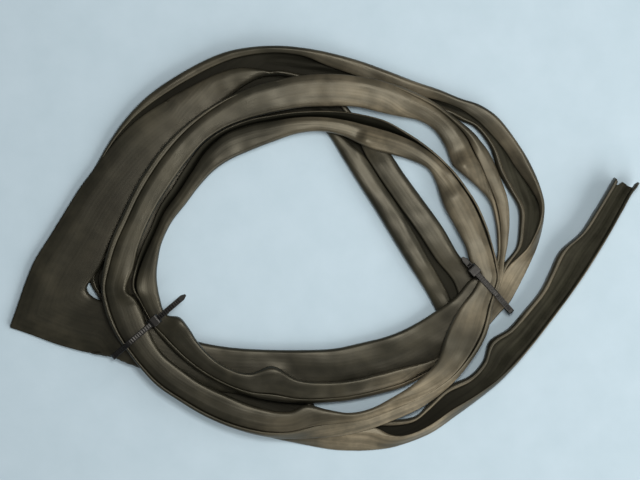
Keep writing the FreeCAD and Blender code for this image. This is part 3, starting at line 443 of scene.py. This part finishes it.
def fine_stations():
    """The rails, the smoothed shapes and the shares of chalk and painted highlight every STEP along the tube,
    how far along each is, and the direction in which the tube ends."""
    rails, shapes, patch_share = gather_stations()
    middle = (rails[:, :2] + rails[:, 2:]) / 2
    gaps = np.linalg.norm(np.diff(middle, axis=0), axis=1)
    edge_gaps = np.maximum(np.linalg.norm(np.diff(rails[:, :2], axis=0), axis=1),
                           np.linalg.norm(np.diff(rails[:, 2:], axis=0), axis=1))
    at = np.concatenate([[0], np.cumsum(np.maximum(gaps, 0.5 * edge_gaps))])
    samples = np.linspace(0, at[-1], int(at[-1] / STEP))
    kernel = np.ones(SMOOTH_OVER) / SMOOTH_OVER
    smoothed = []
    for k in range(SHAPE_COUNT):
        padded = np.pad(np.interp(samples, at, shapes[:, k]), SMOOTH_OVER // 2, mode="edge")
        smoothed.append(np.convolve(padded, kernel, mode="valid"))
    travel = (middle[-1] - middle[-2]) / np.linalg.norm(middle[-1] - middle[-2])
    return (smooth_curve(rails, at, samples), np.stack(smoothed, axis=1), np.interp(samples, at, patch_share),
            samples, travel)


# Chalk dust and painted highlight, summed from the patches.
def chalk_and_highlight_at(x, y):
    return min(1.0, sum(amount * math.exp(-((x - cx) ** 2 + (y - cy) ** 2) / reach ** 2)
                        for cx, cy, reach, amount in CHALK_AND_HIGHLIGHT))


def buckle_lift(x, y):
    lift = 0.0
    for bx, by, heading, gentle, steep, across, tall in BUCKLES:
        angle = math.radians(heading)
        dx, dy = x - bx, y - by
        if abs(dx) > BUCKLE_LIMIT or abs(dy) > BUCKLE_LIMIT:
            continue
        along = dx * math.cos(angle) + dy * math.sin(angle)
        side = -dx * math.sin(angle) + dy * math.cos(angle)
        lift += tall * bell(along, steep if along > 0 else gentle) * bell(side, across)
    return lift


def ripple_at(x, y, col):
    """The upper wall's gentle unevenness, calmer towards the left."""
    ripple = sum(noise.noise(Vector((x / size, y / size, col / turn + seed))) * tall
                 for size, turn, seed, tall in RIPPLES)
    return ripple * (1.0 - CALM * clamp((-x - CALM_FROM) / CALM_BLEND))


def floor_crease(at, share, slope, opened):
    """The crease that runs along an open channel's floor, where no slanted wall passes over it."""
    crease = CREASE_TALL + CREASE_VARIES * noise.noise(Vector((at / CREASE_LONG, 5.3, 1.7)))
    clear = max(0.0, 1 - slope / CREASE_SLOPE)
    return clear * crease * opened * bell(share - CREASE_AT, CREASE_WIDE)


def strip_points():
    """The strip's surface as a grid of points, sections by ACROSS, and the values that its materials use:
    how far along and across a point is, its chalk with painted highlight, and how much painted light its
    inside takes."""
    rails, shapes, patch_share, samples, travel = fine_stations()
    opened = np.clip((shapes[:, COVER] - OPEN_COVER) / OPEN_BLEND, 0, 1)
    count = len(samples)
    grid = np.zeros((count, ACROSS, 3))
    chalk_and_highlight = np.zeros((count, ACROSS))
    inside_light = np.zeros((count, ACROSS))
    for row in range(count):
        ox, oy, ix, iy = rails[row]
        width = math.hypot(ix - ox, iy - oy)
        outline = resample(section(shapes[row], width), width, ACROSS)
        low = shapes[row, LOW]
        left = samples[-1] - samples[row]
        for col in range(ACROSS):
            share, z = outline[col]
            x, y = ox + (ix - ox) * share, oy + (iy - oy) * share
            if left < CUT_REACH:
                pull = np.interp(share, CUT_SHARES, CUT_OFFSETS) * (1 - left / CUT_REACH)
                x += travel[0] * pull
                y += travel[1] * pull
            above = clamp((z - low - RIPPLE_FROM) / RIPPLE_BLEND)
            if z < low + FLOOR_TALL:
                z += floor_crease(samples[row], share, shapes[row, SLOPE], opened[row])
            grid[row, col] = (x, y, z + above * (ripple_at(x, y, col) + buckle_lift(x, y)))
            # Chalk and painted highlight from the patches; an open channel's rim loses most of it, as painted
            # shade where the rim folds into shadow.
            rim = opened[row] * clamp((share - RIM_FROM) / RIM_BLEND)
            chalk_and_highlight[row, col] = chalk_and_highlight_at(x, y) * patch_share[row] * (1 - RIM_SHADE * rim)
            # Painted light: the inside is painted lighter towards the right, where light falls into the
            # channels.
            inside_light[row, col] = clamp((x - INSIDE_LIGHT_FROM) / INSIDE_LIGHT_BLEND)
    along = np.repeat(samples[:, None], ACROSS, axis=1) * MM
    across = np.tile(FLAT_WIDTH / MM * np.arange(ACROSS) / (ACROSS - 1), (count, 1)) * MM
    return grid, {"along": along, "across": across, "chalk_and_highlight": chalk_and_highlight, "inside_light": inside_light}


# ---------------------------------------------------------------- materials
def new_material(name):
    material = bpy.data.materials.new(name)
    material.use_nodes = True
    tree = material.node_tree
    return material, tree, tree.nodes["Principled BSDF"]


def attribute(tree, name):
    made = tree.nodes.new("ShaderNodeAttribute")
    made.attribute_name = name
    return made.outputs["Fac"]


def object_place(tree):
    return tree.nodes.new("ShaderNodeTexCoord").outputs["Object"]


def strip_place(tree):
    """(along, across) of the strip in metres, as a vector for textures that run with the tube."""
    joined = tree.nodes.new("ShaderNodeCombineXYZ")
    tree.links.new(attribute(tree, "along"), joined.inputs["X"])
    tree.links.new(attribute(tree, "across"), joined.inputs["Y"])
    return joined.outputs["Vector"]


def noise_node(tree, vector, scale, detail=4.0, roughness=0.55, stretch=(1, 1, 1)):
    mapping = tree.nodes.new("ShaderNodeMapping")
    mapping.inputs["Scale"].default_value = stretch
    tree.links.new(vector, mapping.inputs["Vector"])
    made = tree.nodes.new("ShaderNodeTexNoise")
    made.inputs["Scale"].default_value = scale
    made.inputs["Detail"].default_value = detail
    made.inputs["Roughness"].default_value = roughness
    tree.links.new(mapping.outputs["Vector"], made.inputs["Vector"])
    return made.outputs["Fac"]


def ramp(tree, value, stops):
    """Turns a value into a colour through (position, colour) stops."""
    made = tree.nodes.new("ShaderNodeValToRGB")
    elements = made.color_ramp.elements
    elements[0].position, elements[0].color = stops[0][0], (*stops[0][1], 1)
    elements[1].position, elements[1].color = stops[-1][0], (*stops[-1][1], 1)
    for position, colour in stops[1:-1]:
        extra = elements.new(position)
        extra.color = (*colour, 1)
    tree.links.new(value, made.inputs["Fac"])
    return made.outputs["Color"]


def grey_ramp(tree, value, start, dark, end):
    """Goes from a dark grey at start to white at end."""
    return ramp(tree, value, [(start, (dark, dark, dark)), (end, (1, 1, 1))])


def mixed(tree, first, second, factor):
    made = tree.nodes.new("ShaderNodeMix")
    made.data_type = "RGBA"
    factor_slot, first_slot, second_slot = made.inputs[0], made.inputs[6], made.inputs[7]
    for slot, value in ((factor_slot, factor), (first_slot, first), (second_slot, second)):
        if isinstance(value, (int, float)):
            slot.default_value = value
        elif isinstance(value, tuple):
            slot.default_value = (*value, 1)
        else:
            tree.links.new(value, slot)
    return made.outputs[2]


def math_node(tree, operation, first, second):
    made = tree.nodes.new("ShaderNodeMath")
    made.operation = operation
    for index, value in enumerate((first, second)):
        if isinstance(value, (int, float)):
            made.inputs[index].default_value = value
        else:
            tree.links.new(value, made.inputs[index])
    return made.outputs[0]


def times(tree, first, second):
    return math_node(tree, "MULTIPLY", first, second)


def set_roughness(tree, shader, value, smoothest, roughest):
    rough = tree.nodes.new("ShaderNodeMapRange")
    rough.inputs["To Min"].default_value = smoothest
    rough.inputs["To Max"].default_value = roughest
    tree.links.new(value, rough.inputs["Value"])
    tree.links.new(rough.outputs["Result"], shader.inputs["Roughness"])


def set_bump(tree, shader, height, strength, distance):
    bump = tree.nodes.new("ShaderNodeBump")
    bump.inputs["Strength"].default_value = strength
    bump.inputs["Distance"].default_value = distance
    tree.links.new(height, bump.inputs["Height"])
    tree.links.new(bump.outputs["Normal"], shader.inputs["Normal"])


def mould_ribs(tree, strip):
    """Faint ribs that run along the tube."""
    ribs = tree.nodes.new("ShaderNodeTexWave")
    ribs.wave_type = "BANDS"
    ribs.bands_direction = "Y"
    ribs.inputs["Scale"].default_value = 210
    ribs.inputs["Distortion"].default_value = 0.6
    ribs.inputs["Detail"].default_value = 1.0
    tree.links.new(strip, ribs.inputs["Vector"])
    return ribs.outputs["Fac"]


def rubber(name, powder_and_light_from, dark, mid, bloom, tan, bloom_amount, streak_amount, roughness, specular):
    """Butyl rubber: fine grain, faint mould ribs along the tube, chalky bloom in patches, worn creases, and
    tan where the given attribute says: chalk dust with painted highlight outside, painted light inside."""
    material, tree, shader = new_material(name)
    place = object_place(tree)
    strip = strip_place(tree)
    patches = noise_node(tree, place, 28, 5.0, 0.6)
    streaks = noise_node(tree, strip, 90, 3.0, 0.5, (0.06, 5.0, 1))
    grain = noise_node(tree, place, 1800, 3.0, 0.6)
    blotches = noise_node(tree, place, 110, 4.0, 0.62)
    base = ramp(tree, patches, [(0.3, dark), (0.52, mid), (0.75, bloom)])
    streaked = mixed(tree, base, ramp(tree, streaks, [(0.35, dark), (0.7, bloom)]), streak_amount)
    dusted = mixed(tree, streaked, bloom, times(tree, grey_ramp(tree, blotches, 0.45, 0, 0.8), bloom_amount))
    worn = tree.nodes.new("ShaderNodeNewGeometry").outputs["Pointiness"]
    rubbed = mixed(tree, dusted, bloom, times(tree, grey_ramp(tree, worn, 0.5, 0, 0.56), 0.18))
    # The tan layer: chalk dust with painted highlight on the outside, painted light on the inside.
    speckled = times(tree, attribute(tree, powder_and_light_from), grey_ramp(tree, streaks, 0.25, 0.35, 0.7))
    powder_and_light = times(tree, speckled, grey_ramp(tree, blotches, 0.42, 0.62, 0.6))
    tree.links.new(mixed(tree, rubbed, tan, powder_and_light), shader.inputs["Base Color"])
    set_roughness(tree, shader, blotches, *roughness)
    shader.inputs["Specular IOR Level"].default_value = specular
    shader.inputs["Specular Tint"].default_value = (1.0, 0.955, 0.8, 1)
    height = math_node(tree, "ADD", times(tree, grain, 0.12), times(tree, mould_ribs(tree, strip), 0.05))
    height = math_node(tree, "ADD", height, times(tree, streaks, 0.3))
    set_bump(tree, shader, height, 0.5, 0.00022)
    return material


def nylon():
    material, tree, shader = new_material("nylon_black")
    place = object_place(tree)
    patches = noise_node(tree, place, 160)
    tree.links.new(ramp(tree, patches, [(0.3, (0.003, 0.003, 0.0032)), (0.7, (0.009, 0.0086, 0.0086))]),
                   shader.inputs["Base Color"])
    set_roughness(tree, shader, patches, 0.28, 0.5)
    shader.inputs["Specular IOR Level"].default_value = 0.3
    set_bump(tree, shader, noise_node(tree, place, 2600, 2.0), 0.25, 0.00005)
    return material


# The outside turns tan in the chalky patches: partly chalk dust, partly painted highlight on faces where the
# light falls brightest.
OUTSIDE = rubber("rubber_outside", "chalk_and_highlight",
                 dark=(0.005, 0.0053, 0.0038), mid=(0.0092, 0.0095, 0.0066),
                 bloom=(0.038, 0.0348, 0.0236), tan=(0.235, 0.2, 0.14),
                 bloom_amount=0.3, streak_amount=0.16, roughness=(0.33, 0.47), specular=0.45)
# The inside rubber is darker than the outside: partly its own clean black rubber, partly painted shade for
# the deep channels.
INSIDE_SHADED = rubber("rubber_inside_shaded", "inside_light",
                dark=(0.0026, 0.0028, 0.002), mid=(0.0055, 0.0058, 0.004),
                # tan: painted light, which the inside takes towards the right, where light falls into the
                # channels.
                bloom=(0.013, 0.013, 0.009), tan=(0.053, 0.0525, 0.038),
                bloom_amount=0.15, streak_amount=0.5, roughness=(0.48, 0.62), specular=0.13)
NYLON = nylon()


# ---------------------------------------------------------------- the tube
def link(name, mesh, body):
    piece = bpy.data.objects.new(name, mesh)
    bpy.context.scene.collection.objects.link(piece)
    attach(piece, body)
    return piece


def build_tube():
    grid, values = strip_points()
    rows, cols = grid.shape[:2]
    faces = []
    for row in range(rows - 1):
        for col in range(cols - 1):
            first = row * cols + col
            faces.append((first, first + 1, first + cols + 1, first + cols))
    mesh = bpy.data.meshes.new("tube_strip")
    mesh.from_pydata((grid.reshape(-1, 3) * MM).tolist(), [], faces)
    for name, value in values.items():
        data = mesh.attributes.new(name, "FLOAT", "POINT").data
        data.foreach_set("value", value.reshape(-1).astype(np.float32))
    mesh.shade_smooth()
    mesh.materials.append(OUTSIDE)
    mesh.materials.append(INSIDE_SHADED)
    piece = link("tube_strip", mesh, "root")
    wall = piece.modifiers.new("wall", "SOLIDIFY")
    wall.thickness = WALL * MM
    wall.offset = -1.0
    wall.material_offset = 1
    wall.material_offset_rim = 0
    wall.use_quality_normals = False
    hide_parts(*[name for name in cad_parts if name.startswith("tube_")])
    return piece


tube = build_tube()


# ---------------------------------------------------------------- cable ties
# Each tie is built along x, in mm, and then turned into place: name, x and y, heading in degrees, and
# where along its own x its tail's full width ends.
TIES = [("left_tie", (-94.6, -49.1), 40.5, 42.2), ("right_tie", (85.6, -28.7), 132.6, 32.2)]
STRAP_WIDE = 2.5
STRAP_THICK = 1.0
RAIL_WIDE = 0.42            # the plain rail along each side of the toothed bed
TOOTH_SUNK = 0.04           # how far the teeth's tops lie below the rails
PATH_SAMPLES = 800
HEAD = (23.9, 4.6, 4.4, 9.7, 14.0)      # start along the strap, length, width, lowest and highest z
HEAD_BEVEL = 0.22
SLOT_BESIDE = 0.12          # the slot's room beside the strap, and how far below and above its middle it goes
SLOT_BELOW = 0.6
SLOT_ABOVE = 0.62
POCKET = ((24.45, 27.85), 1.0, 13.35)   # the pawl's room in the head: ends, half width, top
PAWL_HALF = 0.78
TAIL_START = 24.6
TIP_LONG = 1.8
TIP_WIDE = 0.9
RUN_Z = 11.4                # the strap's middle where it runs over the laps and through the head
TOOTH_PITCH = 1.15
TOOTH_BACK = 0.55           # the shares of a tooth's pitch that its long back and its steep front take up
TOOTH_FRONT = 0.16
PLAIN_BED = 0.9             # how full the bed is where it has no teeth, against a tooth's top
TAIL_TEETH = 0.3            # the height of the free tail's teeth, which face up
BAND_TEETH = 0.14           # the height of the band's teeth, which face away from the laps
BAND_TOOTHED = 26           # how far along the band the teeth go
TAIL_PLAIN = 2              # how much of the free tail's full width has no teeth, at its end

# The band's middle line as (along the strap, z), from inside the head back over the laps, down, under
# them, and up into the head's other end.
BAND_PATH = [
    (24.5, 11.4), (22, 11.4), (19, 11.42), (15, 11.4), (12.4, 11.38), (10.4, 11.1), (8.2, 10.0), (5.6, 8.6),
    (3.2, 7.5), (1.5, 6.7), (0.65, 5.6), (0.5, 4), (0.5, 2.2), (0.62, 1.1), (1.3, 0.58), (2.6, 0.5), (8, 0.5),
    (16, 0.5), (24, 0.5), (29.8, 0.5), (31.2, 0.6), (31.9, 1.3), (32, 3), (32, 6), (31.9, 8.4), (31.4, 9.7),
    (30.3, 10.2), (28.2, 10.2),
]

# The pawl from the side as (along the strap, z): a springy arm with two teeth below it.
PAWL_OUTLINE = [
    (24.55, 12.25), (25.0, 12.12), (26.2, 12.1), (26.5, 12.0), (26.6, 12.14), (26.95, 12.0),
    (27.25, 12.05), (27.3, 12.4), (27.0, 12.7), (25.4, 12.72), (24.6, 12.66),
]


def tie_matrix(corner, heading):
    turn = Matrix.Rotation(math.radians(heading), 4, "Z")
    return Matrix.Translation(Vector((corner[0] * MM, corner[1] * MM, 0))) @ turn


def finished_mesh(made, name):
    mesh = bpy.data.meshes.new(name)
    made.to_mesh(mesh)
    made.free()
    return mesh


def lofted_mesh(name, rings):
    """A closed mesh through rings of points in mm, with a flat cap at each end."""
    made = bmesh.new()
    rows = [[made.verts.new([v * MM for v in point]) for point in ring] for ring in rings]
    for first, second in zip(rows, rows[1:]):
        for k in range(len(first)):
            after = (k + 1) % len(first)
            made.faces.new((first[k], first[after], second[after], second[k]))
    made.faces.new(list(reversed(rows[0])))
    made.faces.new(rows[-1])
    bmesh.ops.recalc_face_normals(made, faces=made.faces)
    return finished_mesh(made, name)


def box_mesh(name, low, high):
    made = bmesh.new()
    corners = [made.verts.new((x * MM, y * MM, z * MM))
               for z in (low[2], high[2]) for y in (low[1], high[1]) for x in (low[0], high[0])]
    for quad in ((0, 2, 3, 1), (4, 5, 7, 6), (0, 1, 5, 4), (2, 6, 7, 3), (0, 4, 6, 2), (1, 3, 7, 5)):
        made.faces.new([corners[k] for k in quad])
    return finished_mesh(made, name)


def cut_away(name, block, cutters):
    """The block with every cutter's space taken out of it."""
    scene = bpy.context.scene.collection
    work = bpy.data.objects.new(name + "_work", block)
    scene.objects.link(work)
    tools = []
    for mesh in cutters:
        tool = bpy.data.objects.new(mesh.name, mesh)
        scene.objects.link(tool)
        cut = work.modifiers.new("cut", "BOOLEAN")
        cut.operation = "DIFFERENCE"
        cut.solver = "EXACT"
        cut.object = tool
        tools.append(tool)
    bpy.context.view_layer.update()
    result = bpy.data.meshes.new_from_object(work.evaluated_get(bpy.context.evaluated_depsgraph_get()))
    for spare in (work, *tools):
        bpy.data.objects.remove(spare)
    result.name = name
    return result


def smooth_path(points, spacing):
    """Points evenly spaced along a smooth line through the given ones, and how far along it each is."""
    points = np.array(points, float)
    at = running_length(points)
    fine = smooth_curve(points, at, np.linspace(0, at[-1], PATH_SAMPLES))
    run = running_length(fine)
    even = np.linspace(0, run[-1], max(3, int(run[-1] / spacing) + 1))
    return np.stack([np.interp(even, run, fine[:, k]) for k in range(2)], axis=1), even


def strap_profile(tooth, tooth_tall):
    """The strap's section as (across, thickness): two rails with a toothed bed between, facing +thickness."""
    half, deep = STRAP_WIDE / 2, STRAP_THICK / 2
    bed = deep - TOOTH_SUNK - tooth_tall * (1 - tooth)
    rail = half - RAIL_WIDE
    return [(-half, -deep + 0.2), (-half + 0.2, -deep), (half - 0.2, -deep), (half, -deep + 0.2),
            (half, deep - 0.16), (half - 0.14, deep), (rail + 0.06, deep), (rail, bed), (-rail, bed),
            (-rail - 0.06, deep), (-half + 0.14, deep), (-half, deep - 0.16)]


def strap_mesh(name, path, toothed, tooth_tall, facing, taper=0.0):
    """A strap swept along a path in the (along, z) plane. The first toothed mm have teeth, on the path's
    left for facing 1 and on its right for -1; the last taper mm narrow to the tip."""
    line, run = smooth_path(path, TOOTH_PITCH / 8)
    tangents = np.gradient(line, axis=0)
    tangents /= np.linalg.norm(tangents, axis=1)[:, None]
    tip = TIP_WIDE / STRAP_WIDE
    rings = []
    for (a, z), (ta, tz), at in zip(line, tangents, run):
        phase = (at % TOOTH_PITCH) / TOOTH_PITCH
        tooth = min(phase / TOOTH_BACK, (1 - phase) / TOOTH_FRONT, 1.0) if at <= toothed else PLAIN_BED
        left = run[-1] - at
        shrink = tip + (1 - tip) * left / taper if left < taper else 1.0
        up = (-tz * facing, ta * facing)
        rings.append([(a + up[0] * thick, across * shrink, z + up[1] * thick)
                      for across, thick in strap_profile(tooth, tooth_tall)])
    mesh = lofted_mesh(name, rings)
    mesh.materials.append(NYLON)
    return mesh


def head_mesh(name):
    """The head: a block with trimmed corners, an open slot through it and a pocket for the pawl."""
    start, long, wide, low, high = HEAD
    end = start + long
    half = wide / 2
    outline = [(start + 0.25, low), (end - 0.1, low), (end, low + 0.4), (end, RUN_Z + 0.75),
               (end - 0.7, high - 0.15), (end - 1.3, high), (start + 0.9, high), (start + 0.2, high - 0.4),
               (start, high - 1.1), (start, low + 0.3)]
    middle_a, middle_z = (start + end) / 2, (low + high) / 2
    sides = []
    for y, inset in ((-half, HEAD_BEVEL), (-half + HEAD_BEVEL, 0.0), (half - HEAD_BEVEL, 0.0),
                     (half, HEAD_BEVEL)):
        sides.append([(a + within(middle_a - a, inset), y, z + within(middle_z - z, inset))
                      for a, z in outline])
    slot_half, slot_low, slot_high = STRAP_WIDE / 2 + SLOT_BESIDE, RUN_Z - SLOT_BELOW, RUN_Z + SLOT_ABOVE
    pocket_ends, pocket_half, pocket_top = POCKET
    slot = box_mesh(name + "_slot", (start - 1, -slot_half, slot_low), (end + 1, slot_half, slot_high))
    pocket = box_mesh(name + "_pocket", (pocket_ends[0], -pocket_half, slot_low + 0.2),
                      (pocket_ends[1], pocket_half, pocket_top))
    mesh = cut_away(name, lofted_mesh(name, sides), (slot, pocket))
    mesh.materials.clear()
    mesh.materials.append(NYLON)
    return mesh


def pawl_mesh(name):
    mesh = lofted_mesh(name, [[(a, y, z) for a, z in PAWL_OUTLINE] for y in (-PAWL_HALF, PAWL_HALF)])
    mesh.materials.append(NYLON)
    return mesh


def build_tie(prefix, corner, heading, tail_end):
    tail_path = [(TAIL_START, RUN_Z), ((TAIL_START + tail_end) / 2, RUN_Z), (tail_end + TIP_LONG, RUN_Z)]
    tail_toothed = tail_end - TAIL_START - TAIL_PLAIN
    parts = [
        ("band", strap_mesh(prefix + "_strap", BAND_PATH, BAND_TOOTHED, BAND_TEETH, -1.0), "root"),
        ("head", head_mesh(prefix + "_lock"), "root"),
        ("tail", strap_mesh(prefix + "_end", tail_path, tail_toothed, TAIL_TEETH, 1.0, TIP_LONG),
         prefix + "_tail"),
        ("pawl", pawl_mesh(prefix + "_tooth"), prefix + "_pawl"),
    ]
    for kind, mesh, body in parts:
        mesh.transform(tie_matrix(corner, heading))
        piece = link(mesh.name, mesh, body)
        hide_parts(prefix + "_" + kind)


for tie in TIES:
    build_tie(*tie)


# ---------------------------------------------------------------- floor and light
FLOOR_HALF = 3.0
WARM = (1.0, 0.955, 0.87)
LAMPS = [       # name, place, what it points at, size, power
    ("window", (1.1, 0.15, 0.6), (0.0, 0, 0), (0.6, 0.6), 3.5),
    ("side", (0.8, -0.74, 0.6), (0.0, -0.02, 0), (1.3, 0.9), 15.5),
    ("ceiling", (0.085, 0.105, 0.6), (0.048, 0.062, 0), (0.16, 0.16), 2.0),
]


def build_floor():
    half = FLOOR_HALF
    mesh = bpy.data.meshes.new("floor")
    mesh.from_pydata([(-half, -half, 0), (half, -half, 0), (half, half, 0), (-half, half, 0)], [],
                     [(0, 1, 2, 3)])
    floor = bpy.data.objects.new("floor", mesh)
    bpy.context.scene.collection.objects.link(floor)
    material, tree, shader = new_material("floor_cloth")
    weave = noise_node(tree, object_place(tree), 60)
    tree.links.new(ramp(tree, weave, [(0.3, (0.455, 0.585, 0.7)), (0.7, (0.485, 0.615, 0.735))]),
                   shader.inputs["Base Color"])
    shader.inputs["Roughness"].default_value = 0.9
    shader.inputs["Specular IOR Level"].default_value = 0.2
    mesh.materials.append(material)


def area_light(name, place, target, size, power):
    data = bpy.data.lights.new(name, "AREA")
    data.shape = "RECTANGLE"
    data.size, data.size_y = size
    data.energy = power
    data.color = WARM
    lamp = bpy.data.objects.new(name, data)
    lamp.location = place
    lamp.rotation_euler = (Vector(target) - Vector(place)).to_track_quat("-Z", "Y").to_euler()
    lamp.visible_camera = False
    bpy.context.scene.collection.objects.link(lamp)


def build_light():
    world = bpy.data.worlds.new("world")
    bpy.context.scene.world = world
    world.use_nodes = True
    background = world.node_tree.nodes["Background"]
    background.inputs["Color"].default_value = (1.0, 0.98, 0.94, 1)
    background.inputs["Strength"].default_value = 0.17
    for lamp in LAMPS:
        area_light(*lamp)
    bpy.context.scene.view_settings.view_transform = "Standard"


build_floor()
build_light()
